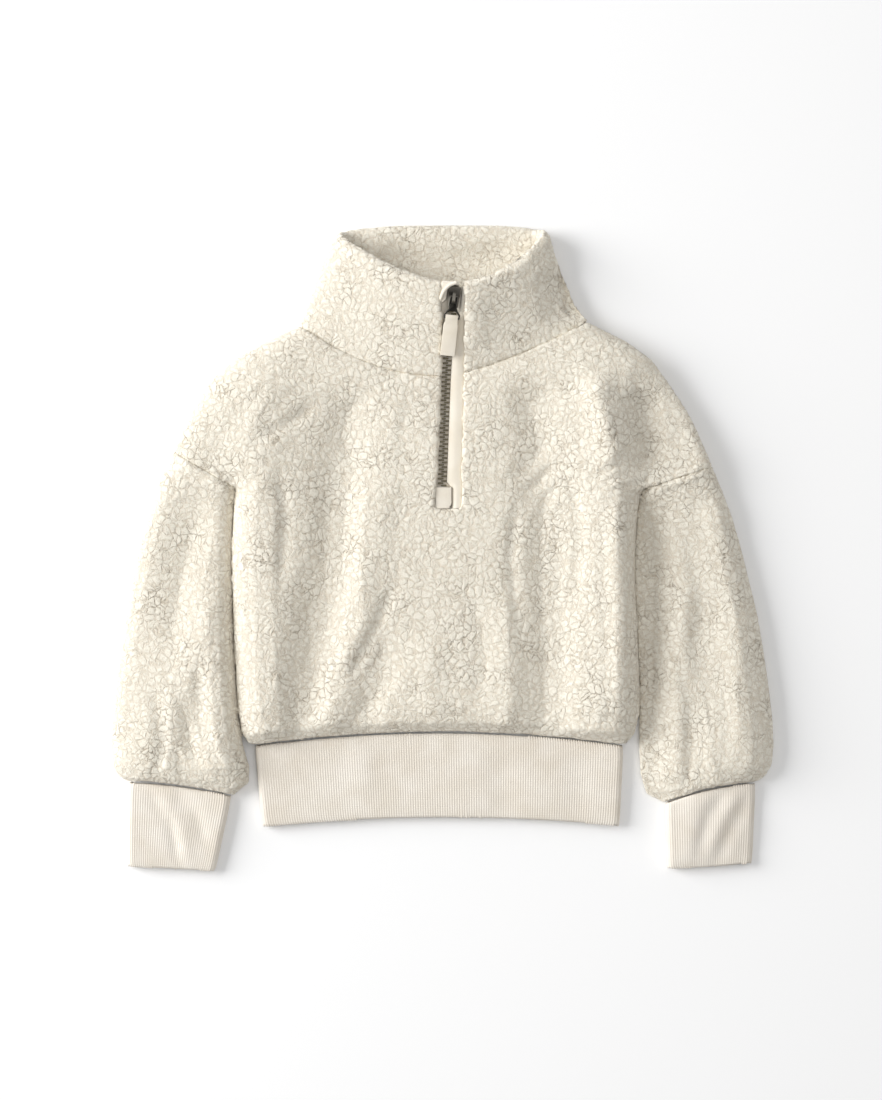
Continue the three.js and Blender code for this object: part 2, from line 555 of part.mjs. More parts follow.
const zipFacing = () =>
  strip(zipRows(FACING_ROWS[0].y, FACING_ROWS.at(-1).y), (y) => {
    const left = axisX(y) + read(FACING_ROWS, "y", "clear", y);
    const right = read(ZIP_LINE, "y", "right", y) - SEAM_GAP;
    const low = TAPE_DEPTH - LAY_GAP;
    const across = (t) => lerp(left, right, t);
    return [
      [left, low],
      [left, FACING_DEPTH + 1.6],
      [across(0.2), FACING_DEPTH + 0.5],
      [across(0.5), FACING_DEPTH],
      [across(0.8), FACING_DEPTH + 0.3],
      [right, FACING_DEPTH + 1.2],
      [right, low],
    ];
  });

// The folded tab over the lower end of the zip, with its lower right corner rounded
function endTab() {
  const { low, high, left, right, corner } = END_TAB;
  const outline = new THREE.Shape();
  outline.moveTo(left, high);
  outline.lineTo(left + 0.4, low);
  outline.lineTo(right - corner, low);
  outline.absarc(right - corner, low + corner, corner, -Math.PI / 2, 0, false);
  outline.lineTo(right, high);
  const middle = (low + high) / 2;
  const base = zipHeight(middle) - TAPE_DEPTH + LAY_GAP + 0.1;
  const geometry = new THREE.ExtrudeGeometry(outline, {
    depth: TAPE_DEPTH - 2.1,
    bevelEnabled: true,
    bevelThickness: 0.3,
    bevelSize: 0.3,
    bevelOffset: -0.3,
    bevelSegments: 1,
    curveSegments: 5,
  });
  return geometry.translate(0, 0, base + 0.3);
}

// The slider, pull and garage are made about the hinge: y up along the zip, z out of the fleece
function plate(outline, low, high, holes = [], bevel = 0.3) {
  const shape = new THREE.Shape(outline.map(([x, y]) => new THREE.Vector2(x, y)));
  holes.forEach((hole) => shape.holes.push(new THREE.Path(hole.map(([x, y]) => new THREE.Vector2(x, y)))));
  const options = { depth: high - low - 2 * bevel, bevelEnabled: bevel > 0, bevelSegments: 1 };
  Object.assign(options, { bevelThickness: bevel, bevelSize: bevel, bevelOffset: -bevel });
  return new THREE.ExtrudeGeometry(shape, options).translate(0, 0, low + bevel);
}
const bothSides = (half) => [...half, ...half.map(([x, y]) => [-x, y]).reverse()];
// Turns a plate drawn from the side, with its first axis along the zip
const fromSide = (geometry) =>
  geometry.applyMatrix4(
    new THREE.Matrix4().makeBasis(
      new THREE.Vector3(0, 1, 0),
      new THREE.Vector3(0, 0, 1),
      new THREE.Vector3(1, 0, 0),
    ),
  );

const SLIDER_TOP = -(PULL_THICK / 2 + LAY_GAP); // under the pull's cross bar
const SLIDER_FOOT = -(PULL_LIFT + TAPE_DEPTH - LAY_GAP - 0.1);
const BRIDGE_THICK = 1.2;
const BRIDGE_TOP = PULL_THICK / 2 + LAY_GAP + BRIDGE_THICK;
const BRIDGE_REACH = 3.9;

function zipSlider() {
  const half = [[2.6, 7.2], [4.3, 5.8], [4.4, 2.4], [3.7, -2], [3.5, -7.6], [2.6, -8.4]];
  const body = solid(plate(bothSides(half), SLIDER_FOOT, SLIDER_TOP, [], 0.5));
  // The bridge is an arch in the plane along the zip, and the pull's cross bar lies under it
  const outside = [[BRIDGE_REACH, -1.4], [BRIDGE_REACH, 1], [2.6, BRIDGE_TOP]];
  const inside = [[1.6, BRIDGE_TOP - BRIDGE_THICK], [2.2, 0.5], [2.2, -1.4]];
  const otherSide = (half) => half.map(([y, z]) => [-y, z]).reverse();
  const arch = [...outside, ...otherSide(outside), ...otherSide(inside), ...inside];
  const bridge = fromSide(plate(arch, -BRIDGE_WIDTH / 2, BRIDGE_WIDTH / 2, [], 0));
  return fromSolid(body.add(solid(bridge)));
}

const PULL_BAR = { high: -15, low: -16.3 };
function zipPull() {
  const half = [
    [2.4, 0.65],
    [3.2, 0.2],
    [3.2, -5.6],
    [2.6, -7.4],
    [3.4, -9.4],
    [5.9, -13],
    [5.9, -15.6],
    [5.2, PULL_BAR.low],
  ];
  const eye = bothSides([[1.7, -0.65], [1.7, -5]]);
  const ring = bothSides([[2.4, -10.6], [4.75, -13.4], [4.75, PULL_BAR.high]]);
  return plate(bothSides(half), -PULL_THICK / 2, PULL_THICK / 2, [eye.reverse(), ring.reverse()], 0.2);
}

const TAB = { high: -13.2, low: -42.6, half: 5.2, loopHalf: 4.4, loopLow: -19, hole: 0.95 };
function zipPullTab() {
  // Seen from the side: the ribbon runs round the pull's bar, with the bar's hole through it
  const loopSide = [
    [TAB.high, -0.9],
    [TAB.high, 0.9],
    [TAB.high - 0.7, 1.5],
    [TAB.loopLow, 1],
    [TAB.loopLow, -1],
    [TAB.high - 0.7, -1.5],
  ];
  const holeHigh = PULL_BAR.high + 0.4;
  const holeLow = PULL_BAR.low - 0.4;
  const hole = [[holeLow, -TAB.hole], [holeLow, TAB.hole], [holeHigh, TAB.hole], [holeHigh, -TAB.hole]];
  const loop = fromSide(plate(loopSide, -TAB.loopHalf, TAB.loopHalf, [hole], 0));
  const outline = bothSides([
    [TAB.loopHalf, TAB.loopLow + 1],
    [TAB.half, TAB.loopLow - 2],
    [TAB.half, TAB.low],
  ]);
  return fromSolid(solid(loop).add(solid(plate(outline, -1, 1, [], 0.3))));
}

// The garage: a folded strip that shields the chin, left of the slider's upper end
function zipGarage() {
  const outline = [
    [-9.6, 7.6],
    [-9.2, -3.6],
    [-7.6, -5.2],
    [-5.6, -3],
    [-5.3, 3.4],
    [-4.4, 7.6],
    [2.4, 8.2],
    [2.4, 10.4],
    [-9.6, 9.6],
  ];
  return plate(outline, SLIDER_FOOT, -PULL_LIFT - 0.4, [], 0.3);
}

// Materials
const finish = (color, roughness, metalness = 0) =>
  new THREE.MeshStandardMaterial({ color, roughness, metalness });
const SHERPA = finish("#e6dfd2", 1);
const RIB = finish("#e4ddd1", 0.95);
const TWILL = finish("#efe9dc", 0.85);
const TAPE_CLOTH = finish("#ece4d4", 0.9);
const GUNMETAL = finish("#55534f", 0.35, 1);
const BRASS_TEETH = finish("#5d584d", 0.4, 1);

const pullover = new THREE.Group();
const add = (parent, name, geometry, material) => {
  const mesh = new THREE.Mesh(geometry, material);
  mesh.name = name;
  parent.add(mesh);
};

add(pullover, "front_panel", frontPanel(), SHERPA);
add(pullover, "back_panel", backPanel(), SHERPA);
add(pullover, "sleeve_left", sleeve(LEFT_SLEEVE, LEFT_SLEEVE_FOLDS, 6), SHERPA);
add(pullover, "sleeve_right", sleeve(RIGHT_SLEEVE, RIGHT_SLEEVE_FOLDS, 7), SHERPA);
add(pullover, "collar", collar(), SHERPA);
add(pullover, "hem_band", ribTube(HEM_BAND), RIB);
add(pullover, "cuff_left", ribTube(LEFT_CUFF), RIB);
add(pullover, "cuff_right", ribTube(RIGHT_CUFF), RIB);
add(pullover, "zip_tape", zipTape(), TAPE_CLOTH);
add(pullover, "zip_chain", zipChain(), BRASS_TEETH);
add(pullover, "zip_facing", zipFacing(), TWILL);
add(pullover, "zip_end_tab", endTab(), TWILL);

const hinge = new THREE.Group();
const slope = Math.atan((COLLAR_HIGH - COLLAR_LOW) / (COLLAR_TOP - COLLAR_FOOT));
hinge.position.set(axisX(HINGE.y), HINGE.y, zipHeight(HINGE.y) + PULL_LIFT);
hinge.rotation.set(slope, 0, -THREE.MathUtils.degToRad(HINGE.lean), "ZYX");
add(hinge, "zip_slider", zipSlider(), GUNMETAL);
add(hinge, "zip_pull", zipPull(), GUNMETAL);
add(hinge, "zip_pull_tab", zipPullTab(), TWILL);
add(hinge, "zip_garage", zipGarage(), TWILL);
pullover.add(hinge);

export default pullover;
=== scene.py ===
"""Looks of a toddler's sherpa fleece pullover that lies on its back, seen from straight above."""

import json
import math

import bmesh
import bpy
import numpy as np
from mathutils import Matrix, Vector
from mathutils.bvhtree import BVHTree

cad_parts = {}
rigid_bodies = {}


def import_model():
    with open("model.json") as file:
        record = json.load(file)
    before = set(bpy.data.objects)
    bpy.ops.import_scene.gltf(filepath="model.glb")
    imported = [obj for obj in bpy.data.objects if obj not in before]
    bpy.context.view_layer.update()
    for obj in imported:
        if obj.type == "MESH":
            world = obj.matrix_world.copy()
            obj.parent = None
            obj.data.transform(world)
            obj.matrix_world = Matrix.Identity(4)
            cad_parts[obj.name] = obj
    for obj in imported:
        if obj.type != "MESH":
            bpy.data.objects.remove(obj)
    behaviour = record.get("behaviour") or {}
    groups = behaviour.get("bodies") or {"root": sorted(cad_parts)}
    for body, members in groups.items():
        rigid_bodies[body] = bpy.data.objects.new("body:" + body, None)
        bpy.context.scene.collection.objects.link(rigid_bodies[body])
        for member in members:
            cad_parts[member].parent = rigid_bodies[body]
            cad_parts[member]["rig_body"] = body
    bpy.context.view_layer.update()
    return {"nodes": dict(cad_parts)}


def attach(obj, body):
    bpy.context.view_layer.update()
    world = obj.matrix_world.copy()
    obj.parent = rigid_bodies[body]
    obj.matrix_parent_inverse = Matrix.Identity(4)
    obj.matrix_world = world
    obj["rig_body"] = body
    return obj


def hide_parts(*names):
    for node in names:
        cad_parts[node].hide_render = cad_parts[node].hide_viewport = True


MM = 0.001

# The photograph's frame, at the scale that the solids are built to.
PHOTO_HEIGHT = 1100
MM_PER_PIXEL = 0.72
FRAME_MIDDLE = Vector((-1.08, -1.44, 0)) * MM
CAMERA_HEIGHT = 2.4
CAMERA_SENSOR = 36

# Sherpa pile: curled nubs of 4 to 6 mm, some of them parted by thin cracks.
FLEECE_VOXEL = 2.4 * MM
SLEEVE_VOXEL = 1.7 * MM
FLEECE_SMOOTHING = 3
MERGE = 0.01 * MM
RAY_START = 1.2 * MM
HIDDEN_GAP = 14 * MM
OVERHEAD = 60 * MM
NUB = 4.9 * MM
CURL = 2.3 * MM
NUB_WANDER = 7 * MM
RAGGED = 0.13
CURL_WANDER = 2.6 * MM
PILE_SPREAD = 0.6 * MM
PILE_RELIEF = 0.55 * MM
PILE_BUMP = 0.8 * MM
SEAM_GAP = 2.6 * MM
SEAM_LEFT = 0.05 * MM
# A crease's share at its tips, and how soon it is full
CREASE_TIP = 0.04
CREASE_RISE = 1.6
# How far below its start a sleeve's lower lie is full, in millimetres
LIE_ONSET = 34

# Rib knit, and the metal zip with its axis as points of y and x in millimetres
RIB_SHARPENING = 0.2
QUAD_ANGLE = math.radians(60)
TOOTH_PITCH = 3.3 * MM
TOOTH_SIZE = Vector((3.9, 1.25, 1.5)) * MM
TOOTH_EDGE = 0.32 * MM
TOOTH_OFFSET = 1.15 * MM
SLOPE_STEP = Vector((0, 2, 0)) * MM
CHAIN_LINE = [(43.6, -0.3), (90, 1.4), (122, 2.6), (140, 3.8), (162, 6.2), (175, 7.8)]
CHAIN_ENDS = (44.6, 170)
# The pile's edges beside the zip, as points of y and x in millimetres, and how far its tufts lean over
ZIP_FOOT = 44
LEFT_EDGE = [(38, -5.0), (60, -4.0), (80, -3.0), (120, -1.6), (140, -1.0), (190, -1.6)]
RIGHT_EDGE = [(38, 14.4), (60, 15.0), (100, 15.8), (135, 16.4), (190, 16.6)]
TUFT_REACH = 1.5 * MM
TUFT_DEPTH = 2.2
TUFT_BACK = 1.5
TUFT_FOOT = 9 * MM
TUFT_MEAN = 0.6
TUFT_WAVES = [(0.25, 1.3, 0), (0.3, 2.9, 1), (0.2, 0.7, 2)]
# The garage's roll, and the stitches of the pull's loop
ROLL_LINE = [(-1.4, 174), (-0.6, 179), (2.0, 183.6), (5.6, 186.8), (9.8, 188.4)]
ROLL_THICK = 2.7 * MM
STITCH_SIZE = Vector((1.3, 0.34, 0.3)) * MM
STITCH_EDGE = 0.12 * MM
STITCH_START = (0.2, 139.8)
STITCH_PITCH = 1.7
STITCH_SLANT = 0.05
STITCH_COUNT = 6
# A height over all of the garment, from which rays look down
ABOVE = 0.1

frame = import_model()
bpy.ops.object.select_all(action="DESELECT")


def linear(code):
    """A colour of the screen, such as #F1EADD, as linear red, green, blue and alpha."""
    parts = [int(code[i : i + 2], 16) / 255 for i in (1, 3, 5)]
    return [p / 12.92 if p <= 0.04045 else ((p + 0.055) / 1.055) ** 2.4 for p in parts] + [1]


def add(tree, kind, settings=None, output=0):
    """Adds a node and gives an output. Settings are its own, or its inputs' values or sources."""
    node = tree.nodes.new(kind)
    for key, value in (settings or {}).items():
        if isinstance(value, bpy.types.NodeSocket):
            tree.links.new(value, node.inputs[key])
        elif isinstance(key, str) and hasattr(node, key):
            setattr(node, key, value)
        else:
            node.inputs[key].default_value = value
    return node.outputs[output] if node.outputs else None


def new_material(name):
    """An empty material and its tree."""
    material = bpy.data.materials.new(name)
    material.use_nodes = True
    material.node_tree.nodes.clear()
    return material, material.node_tree


def wander(tree, place, size, reach):
    """Shifts a place by up to half the reach, so that a pattern's lines bend as curls do."""
    drift = add(tree, "ShaderNodeTexNoise", {"Scale": 1 / size, "Detail": 1, "Vector": place}, 1)
    centred = add(tree, "ShaderNodeVectorMath", {"operation": "SUBTRACT", 0: drift, 1: (0.5,) * 3})
    shifted = {"operation": "MULTIPLY_ADD", 0: centred, 1: (reach,) * 3, 2: place}
    return add(tree, "ShaderNodeVectorMath", shifted)


def nub_field(tree, place):
    """Sherpa's nubs at a place in metres, as two numbers: their height, and the cracks between them."""
    bent = wander(tree, wander(tree, place, 9 * MM, NUB_WANDER), 2.6 * MM, CURL_WANDER)
    edge = {"feature": "DISTANCE_TO_EDGE", "Scale": 1 / NUB, "Vector": bent}
    nubs = add(tree, "ShaderNodeTexVoronoi", edge)
    rough = {"Scale": 1 / (1.9 * MM), "Detail": 3, "Roughness": 0.7, "Vector": place}
    ragged = add(tree, "ShaderNodeTexNoise", rough)
    ragged = add(tree, "ShaderNodeMapRange", {"To Min": -RAGGED, "To Max": RAGGED, "Value": ragged})
    nubs = add(tree, "ShaderNodeMath", {"operation": "ADD", 0: nubs, 1: ragged})
    loops = {"feature": "SMOOTH_F1", "Scale": 1 / CURL, "Smoothness": 1, "Vector": bent}
    curls = add(tree, "ShaderNodeTexVoronoi", loops)
    rise = {"interpolation_type": "SMOOTHSTEP", "From Max": 0.2, "To Max": 0.4, "Value": nubs}
    crown = add(tree, "ShaderNodeMapRange", rise)
    bulge = {"From Min": 0.7, "From Max": 0.05, "To Max": 0.2, "Value": curls}
    loop = add(tree, "ShaderNodeMapRange", bulge)
    height = add(tree, "ShaderNodeMath", {"operation": "ADD", 0: crown, 1: loop})
    lumps = add(tree, "ShaderNodeTexNoise", {"Scale": 1 / (3.2 * MM), "Detail": 3, "Vector": bent})
    height = add(tree, "ShaderNodeMath", {"operation": "MULTIPLY_ADD", 0: lumps, 1: 0.5, 2: height})
    cracks = add(tree, "ShaderNodeMapRange", {"From Min": 0.05, "From Max": -0.03, "Value": nubs})
    return height, cracks


def finish_material(material, tree, colour, relief, depth, settings):
    """Joins colour and bump in the shader that ends a material, with the finish's own numbers."""
    bump = add(tree, "ShaderNodeBump", {"Strength": 1, "Distance": depth, "Height": relief})
    shader = add(tree, "ShaderNodeBsdfPrincipled", {"Base Color": colour, "Normal": bump, **settings})
    add(tree, "ShaderNodeOutputMaterial", {"Surface": shader})
    return material


def sherpa_pile():
    """Undyed polyester sherpa: curled nubs, matt and soft, with painted warm shade on the nubs' low parts
    and painted dark shade down in the cracks.
    """
    material, tree = new_material("sherpa_pile")
    place = add(tree, "ShaderNodeAttribute", {"attribute_name": "rest_place"}, "Vector")
    height, cracks = nub_field(tree, place)
    broad = {"Scale": 1 / (24 * MM), "Detail": 6, "Roughness": 0.75, "Vector": place}
    patches = add(tree, "ShaderNodeTexNoise", broad)
    parted = add(tree, "ShaderNodeMapRange", {"From Min": 0.46, "From Max": 0.66, "Value": patches})
    # Painted shade in the cracks between nubs, in patches: this mask mixes in the dark brown #8E7857 below,
    # and also sinks the bump.
    dark = add(tree, "ShaderNodeMath", {"operation": "MULTIPLY", 0: cracks, 1: parted})
    fine = {"Scale": 1 / (1.1 * MM), "Detail": 4, "Roughness": 0.75, "Vector": place}
    fibre = add(tree, "ShaderNodeTexNoise", fine)
    fluff = {"From Min": 0.3, "From Max": 0.7, "To Max": 0.8, "Value": fibre}
    fluffy = add(tree, "ShaderNodeMapRange", fluff)
    # Painted shade and real tone: the pile's colour goes to the darker, warmer #E1CFB4 on the nubs' low
    # parts, and the fibre noise adds the yarn's own uneven tone.
    shade = add(tree, "ShaderNodeMath", {"operation": "ADD", 0: height, 1: fluffy})
    shade = add(tree, "ShaderNodeMapRange", {"From Min": -0.1, "From Max": 1.2, "Value": shade})
    pile = {"data_type": "RGBA", 0: shade, 6: linear("#E1CFB4"), 7: linear("#FAF4E5")}
    colour = add(tree, "ShaderNodeMix", pile, 2)
    parts = add(tree, "ShaderNodeMath", {"operation": "MULTIPLY", 0: dark, 1: 0.7})
    colour = add(tree, "ShaderNodeMix", {"data_type": "RGBA", 0: parts, 6: colour, 7: linear("#8E7857")}, 2)
    relief = add(tree, "ShaderNodeMath", {"operation": "SUBTRACT", 0: shade, 1: dark})
    soft = {"Roughness": 0.95, "Sheen Weight": 0.25, "Sheen Roughness": 0.6, "Specular IOR Level": 0.1}
    return finish_material(material, tree, colour, relief, PILE_BUMP, soft)


def knit(name, codes, pitch):
    """Knitted or woven yarn: soft and matt, with stitches or threads in rows and a little fuzz."""
    material, tree = new_material(name)
    place = add(tree, "ShaderNodeTexCoord", output="Object")
    patches = add(tree, "ShaderNodeTexNoise", {"Scale": 1 / (20 * MM), "Detail": 3, "Vector": place})
    fuzz = add(tree, "ShaderNodeTexNoise", {"Scale": 1 / (0.8 * MM), "Detail": 3, "Vector": place})
    stitches = {"bands_direction": "Y", "Scale": math.pi / (10 * pitch), "Distortion": 1.5, "Vector": place}
    rows = add(tree, "ShaderNodeTexWave", stitches, 1)
    tone = add(tree, "ShaderNodeMapRange", {"From Min": 0.3, "From Max": 0.7, "Value": patches})
    shades = {"data_type": "RGBA", 0: tone, 6: linear(codes[0]), 7: linear(codes[1])}
    colour = add(tree, "ShaderNodeMix", shades, 2)
    relief = add(tree, "ShaderNodeMath", {"operation": "MULTIPLY_ADD", 0: rows, 1: 0.5, 2: fuzz})
    soft = {"Roughness": 0.9, "Sheen Weight": 0.3, "Specular IOR Level": 0.2}
    return finish_material(material, tree, colour, relief, 0.15 * MM, soft)


def metal(name, codes, roughness, grain):
    """Plated zip metal: dark in the hollows and rubbed bright where fingers and the slider pass."""
    material, tree = new_material(name)
    place = add(tree, "ShaderNodeTexCoord", output="Object")
    spots = add(tree, "ShaderNodeTexNoise", {"Scale": 1 / grain, "Detail": 4, "Vector": place})
    edges = add(tree, "ShaderNodeNewGeometry", output="Pointiness")
    rubbed = add(tree, "ShaderNodeMapRange", {"From Min": 0.51, "From Max": 0.62, "Value": edges})
    patchy = {"data_type": "RGBA", 0: spots, 6: linear(codes[0]), 7: linear(codes[1])}
    plating = add(tree, "ShaderNodeMix", patchy, 2)
    worn = {"data_type": "RGBA", 0: rubbed, 6: plating, 7: linear(codes[2])}
    colour = add(tree, "ShaderNodeMix", worn, 2)
    plated = {"Roughness": roughness, "Metallic": 1}
    return finish_material(material, tree, colour, spots, 0.05 * MM, plated)


SHERPA = sherpa_pile()
RIB = knit("cotton_rib_knit", ("#E4DBCD", "#EEE7DC"), 1.3 * MM)
TWILL = knit("cotton_twill", ("#E6DCCA", "#EFE8DA"), 0.9 * MM)
TAPE = knit("woven_polyester_tape", ("#EBE2D2", "#F2EBDE"), 0.7 * MM)
TEETH = metal("antique_plated_brass", ("#0E0C0A", "#2B2721", "#8F866F"), 0.42, 1.5 * MM)
GUNMETAL = metal("gunmetal_plated_zinc", ("#141311", "#302E2A", "#8A857C"), 0.36, 3 * MM)

GARMENT = [name for name, node in frame["nodes"].items() if node["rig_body"] == "garment"]


def tree_of(names):
    """The named CAD nodes' faces as one tree that rays can meet."""
    corners, faces = [], []
    for name in names:
        mesh = frame["nodes"][name].data
        faces += [[v + len(corners) for v in face.vertices] for face in mesh.polygons]
        corners += [v.co.copy() for v in mesh.vertices]
    return BVHTree.FromPolygons(corners, faces)


def only(piece):
    """Makes the piece the one that the next operators act on."""
    bpy.ops.object.select_all(action="DESELECT")
    piece.select_set(True)
    bpy.context.view_layer.objects.active = piece


def copy_of(node, name):
    """A copy of a CAD node's mesh as a piece of its own, with its doubled corners merged."""
    piece = bpy.data.objects.new(name, frame["nodes"][node].data.copy())
    bpy.context.scene.collection.objects.link(piece)
    piece.data.materials.clear()
    only(piece)
    bpy.ops.object.mode_set(mode="EDIT")
    bpy.ops.mesh.select_all(action="SELECT")
    bpy.ops.mesh.remove_doubles(threshold=MERGE)
    bpy.ops.object.mode_set(mode="OBJECT")
    return piece


def places(piece):
    """The corners of a mesh as rows of x, y and z."""
    rows = np.empty(len(piece.data.vertices) * 3, np.float32)
    piece.data.vertices.foreach_get("co", rows)
    return rows.reshape(-1, 3).astype(float)


def put(piece, rows):
    """Moves the corners of a mesh to the rows' places."""
    piece.data.vertices.foreach_set("co", rows.astype(np.float32).ravel())
    piece.data.update()


def normals(piece):
    """The corners' normals as rows."""
    rows = np.empty(len(piece.data.vertices) * 3, np.float32)
    piece.data.vertex_normals.foreach_get("vector", rows)
    return rows.reshape(-1, 3).astype(float)


def apply_modifier(piece, kind, settings):
    """Gives the piece a modifier with these settings and applies it."""
    modifier = piece.modifiers.new(kind.lower(), kind)
    for key, value in settings.items():
        setattr(modifier, key, value)
    only(piece)
    bpy.ops.object.modifier_apply(modifier=modifier.name)


def dress(piece, body, material, node=None):
    """Gives the piece its finish, smooth shading and its body, and hides the CAD node that it stands for,
    if there is one.
    """
    piece.data.materials.clear()
    piece.data.materials.append(material)
    only(piece)
    bpy.ops.object.shade_smooth()
    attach(piece, body)
    if node:
        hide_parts(node)
    return piece


def pile_group():
    """Geometry nodes that lift the pile by its nubs, as much as the pile attribute says."""
    tree = bpy.data.node_groups.new("lift_pile", "GeometryNodeTree")
    for direction in ("INPUT", "OUTPUT"):
        tree.interface.new_socket("Geometry", in_out=direction, socket_type="NodeSocketGeometry")
    form = add(tree, "NodeGroupInput")
    height = nub_field(tree, add(tree, "GeometryNodeInputPosition"))[0]
    share = add(tree, "GeometryNodeInputNamedAttribute", {"Name": "pile"})
    low, high = PILE_SPREAD - PILE_RELIEF / 2, PILE_SPREAD + PILE_RELIEF / 2
    lift = add(tree, "ShaderNodeMapRange", {"To Min": low, "To Max": high, "Value": height})
    lift = add(tree, "ShaderNodeMath", {"operation": "MULTIPLY", 0: lift, 1: share})
    outward = add(tree, "GeometryNodeInputNormal")
    offset = add(tree, "ShaderNodeVectorMath", {"operation": "SCALE", 0: outward, "Scale": lift})
    moved = add(tree, "GeometryNodeSetPosition", {"Geometry": form, "Offset": offset})
    add(tree, "NodeGroupOutput", {0: moved})
    return tree


PILE_GROUP = pile_group()
GARMENT_TREE = tree_of(GARMENT)


def shown_share(piece):
    """1 at corners that the open reaches from above or from in front of them, 0 where cloth lies close."""
    mesh = piece.data
    total = np.zeros(len(mesh.vertices))
    count = np.zeros(len(mesh.vertices))
    for face in mesh.polygons:
        start = face.center + face.normal * RAY_START
        from_above = GARMENT_TREE.ray_cast(start, Vector((0, 0, 1)), OVERHEAD)[0] is None
        seen = from_above or GARMENT_TREE.ray_cast(start, face.normal, HIDDEN_GAP)[0] is None
        for corner in face.vertices:
            total[corner] += seen
            count[corner] += 1
    return total / np.maximum(count, 1)


def close_seams(piece, node):
    """Moves the corners that face other cloth over a narrow gap half way to it, as pile fills a seam."""
    others = tree_of([name for name in GARMENT if name not in (node, "zip_chain", "zip_slider")])
    rows = places(piece)
    for i, (place, facing) in enumerate(zip(rows.copy(), normals(piece))):
        gap = others.ray_cast(Vector(place), Vector(facing), SEAM_GAP)[3]
        if gap is not None:
            rows[i] += facing * max(gap / 2 - SEAM_LEFT, 0)
    put(piece, rows)


def crease(rows, up, line, height, width):
    """Lifts the corners that look up beside a line of points in millimetres, as a soft ridge or trough."""
    points = np.array(line, float) * MM
    nearest = np.full(len(rows), np.inf)
    taper = np.zeros(len(rows))
    steps = np.linalg.norm(np.diff(points, axis=0), axis=1)
    whole = steps.sum()
    gone = 0
    for start, end, length in zip(points, points[1:], steps):
        along = np.clip(((rows[:, :2] - start) @ (end - start)) / length**2, 0, 1)
        away = np.linalg.norm(rows[:, :2] - start - along[:, None] * (end - start), axis=1)
        share = (gone + along * length) / whole
        closer = away < nearest
        nearest = np.where(closer, away, nearest)
        taper = np.where(closer, np.sin(math.pi * np.clip(share, CREASE_TIP, 1 - CREASE_TIP)), taper)
        gone += length
    lift = height * MM * np.exp(-((nearest / (width * MM)) ** 2)) * np.minimum(taper * CREASE_RISE, 1)
    rows[:, 2] += lift * up


def settle(rows, line, share, width):
    """Lets cloth lie lower beside a line, more and more from its upper end, by a share of its height."""
    (x0, y0), (x1, y1) = line
    middle = x0 + (rows[:, 1] / MM - y0) * (x1 - x0) / (y1 - y0)
    begun = np.clip((y0 - rows[:, 1] / MM) / LIE_ONSET, 0, 1)
    rows[:, 2] *= 1 + share * begun * np.exp(-(((rows[:, 0] / MM - middle) / width) ** 2))


def lean_over_zip(rows):
    """Lets the pile at the zip's two edges lean over the tape and the facing in uneven tufts."""
    y = rows[:, 1] / MM
    beside = (y > ZIP_FOOT) & (rows[:, 2] > TUFT_FOOT)
    tufts = np.full(len(y), TUFT_MEAN)
    for share, length, phase in TUFT_WAVES:
        tufts += share * np.sin(y / length + phase)
    for side, edge in ((1, LEFT_EDGE), (-1, RIGHT_EDGE)):
        at, x = zip(*edge)
        away = side * (np.interp(y, at, x) * MM - rows[:, 0]) / MM
        near = np.exp(-((np.maximum(away, 0) / TUFT_DEPTH) ** 2)) * (away > -TUFT_BACK) * beside
        rows[:, 0] += side * near * tufts * TUFT_REACH


def fleece(node, creases, voxel=FLEECE_VOXEL, settled=()):
    """A fleece piece: the solid's form, its smaller creases, and the lifted pile."""
    piece = copy_of(node, f"{node}_pile")
    piece.data.remesh_voxel_size = voxel
    bpy.ops.object.voxel_remesh()
    apply_modifier(piece, "SMOOTH", {"factor": 0.5, "iterations": FLEECE_SMOOTHING})
    rows = places(piece)
    up = np.clip(normals(piece)[:, 2] * 2, 0, 1)
    for line, height, width in creases:
        crease(rows, up, line, height, width)
    for line, share, width in settled:
        settle(rows, line, share, width)
    if node in ("front_panel", "collar"):
        lean_over_zip(rows)
    put(piece, rows)
    close_seams(piece, node)
    share = shown_share(piece)
    form = bmesh.new()
    form.from_mesh(piece.data)
    form.verts.ensure_lookup_table()
    shown = [e for e in form.edges if share[e.verts[0].index] > 0.5 and share[e.verts[1].index] > 0.5]
    outer = [e for e in shown if (e.verts[0].normal.z + e.verts[1].normal.z) > -0.5]
    bmesh.ops.subdivide_edges(form, edges=outer, cuts=1, use_grid_fill=True)
    form.to_mesh(piece.data)
    form.free()
    apply_modifier(piece, "SMOOTH", {"factor": 0.4, "iterations": 1})
    share = shown_share(piece)
    piece.data.attributes.new("pile", "FLOAT", "POINT").data.foreach_set("value", share.astype(np.float32))
    rest = piece.data.attributes.new("rest_place", "FLOAT_VECTOR", "POINT")
    rest.data.foreach_set("vector", places(piece).astype(np.float32).ravel())
    apply_modifier(piece, "NODES", {"node_group": PILE_GROUP})
    rows = places(piece)
    rows[:, 2] = np.maximum(rows[:, 2], 0)
    put(piece, rows)
    return dress(piece, "garment", SHERPA, node)


# The smaller creases: points in millimetres, height up or down, and half width.
FRONT_CREASES = [
    ([(-118, 60), (-112, 20), (-116, -30)], -1.6, 6),
    ([(-32, -20), (-48, -58), (-70, -100)], -1.8, 5),
    ([(20, -30), (30, -70), (26, -120)], -1.2, 7),
    ([(92, 60), (98, 10), (94, -50)], -1.6, 6),
    ([(52, 40), (48, -10), (56, -70)], -1.4, 6),
    ([(128, 70), (104, 84), (84, 96)], -1.6, 5),
    ([(-132, 78), (-108, 90), (-90, 104)], -1.6, 5),
    ([(-20, 108), (-30, 80), (-26, 50)], -1.0, 8),
    ([(-4, -60), (-10, -95), (-2, -132)], 1.2, 8),
    ([(104, 128), (116, 92), (122, 50)], 5, 10),
    ([(140, 116), (146, 84), (148, 54)], -6.5, 10),
    ([(124, 46), (128, -40), (126, -126)], 5, 9),
]
